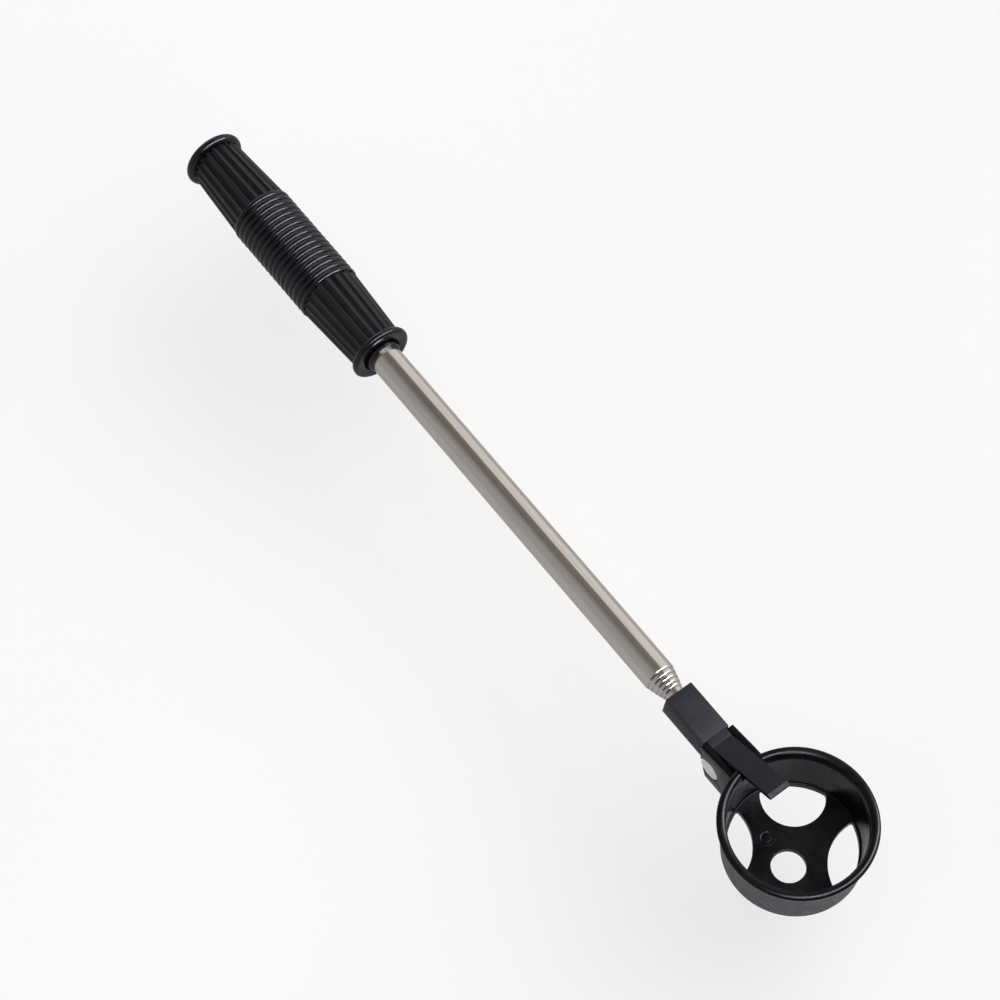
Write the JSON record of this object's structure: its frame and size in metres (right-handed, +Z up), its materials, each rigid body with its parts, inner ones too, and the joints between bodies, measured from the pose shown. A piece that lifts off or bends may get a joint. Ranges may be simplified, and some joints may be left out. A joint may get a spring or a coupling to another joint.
{
  "type": "golf ball retriever",
  "caption": "Telescopic golf ball retriever, collapsed: ribbed grip, nested steel tubes, and a hinged cup with floor windows under a latch finger.",
  "frame": {"origin": "on the surface it lies on, under the middle of its length, on the shaft's centre plane", "axes": "+X along the shaft from the butt to the cup, +Y to the left looking that way, +Z up out of the cup's mouth"},
  "size_m": [0.39, 0.0568, 0.0318],
  "materials": {
    "grip_plastic": "satin",
    "collar_plastic": "gloss",
    "nylon": "matte",
    "stainless": "brushed",
    "head_plastic": "matte",
    "rivet_steel": "satin",
    "spring_steel": "satin"
  },
  "bodies": {
    "handle": {"grip": "grip_plastic", "end_cap": "grip_plastic", "front_collar": "collar_plastic", "rear_bush": "nylon", "tube_1": "stainless", "tube_stop_plug": "nylon"},
    "section_2": {"tube_2": "stainless", "slide_bush_2": "nylon"},
    "section_3": {"tube_3": "stainless", "slide_bush_3": "nylon"},
    "section_4": {"tube_4": "stainless", "slide_bush_4": "nylon"},
    "section_5": {"tube_5": "stainless", "slide_bush_5": "nylon"},
    "head": {"tube_6": "stainless", "slide_bush_6": "nylon", "head_block": "head_plastic", "socket_pin": "rivet_steel", "torsion_spring": "spring_steel"},
    "ball_cup": {"cup": "head_plastic", "hinge_pin": "rivet_steel", "pin_clip": "rivet_steel"}
  },
  "joints": [
    {"name": "slide_2", "type": "slide", "parent": "handle", "child": "section_2", "axis": [1, 0, 0], "range_m": [0, 0.235]},
    {"name": "slide_3", "type": "slide", "parent": "section_2", "child": "section_3", "axis": [1, 0, 0], "range_m": [0, 0.23]},
    {"name": "slide_4", "type": "slide", "parent": "section_3", "child": "section_4", "axis": [1, 0, 0], "range_m": [0, 0.225]},
    {"name": "slide_5", "type": "slide", "parent": "section_4", "child": "section_5", "axis": [1, 0, 0], "range_m": [0, 0.22]},
    {"name": "slide_6", "type": "slide", "parent": "section_5", "child": "head", "axis": [1, 0, 0], "range_m": [0, 0.215]},
    {"name": "cup_hinge", "type": "hinge", "parent": "head", "child": "ball_cup", "pos_m": [0.12825, 0, 0.0083], "axis": [0, 1, 0], "range_deg": [0, 45], "stiffness_Nm_per_rad": 0.05, "springref_deg": -34.38, "deforming": ["torsion_spring"]}
  ]
}
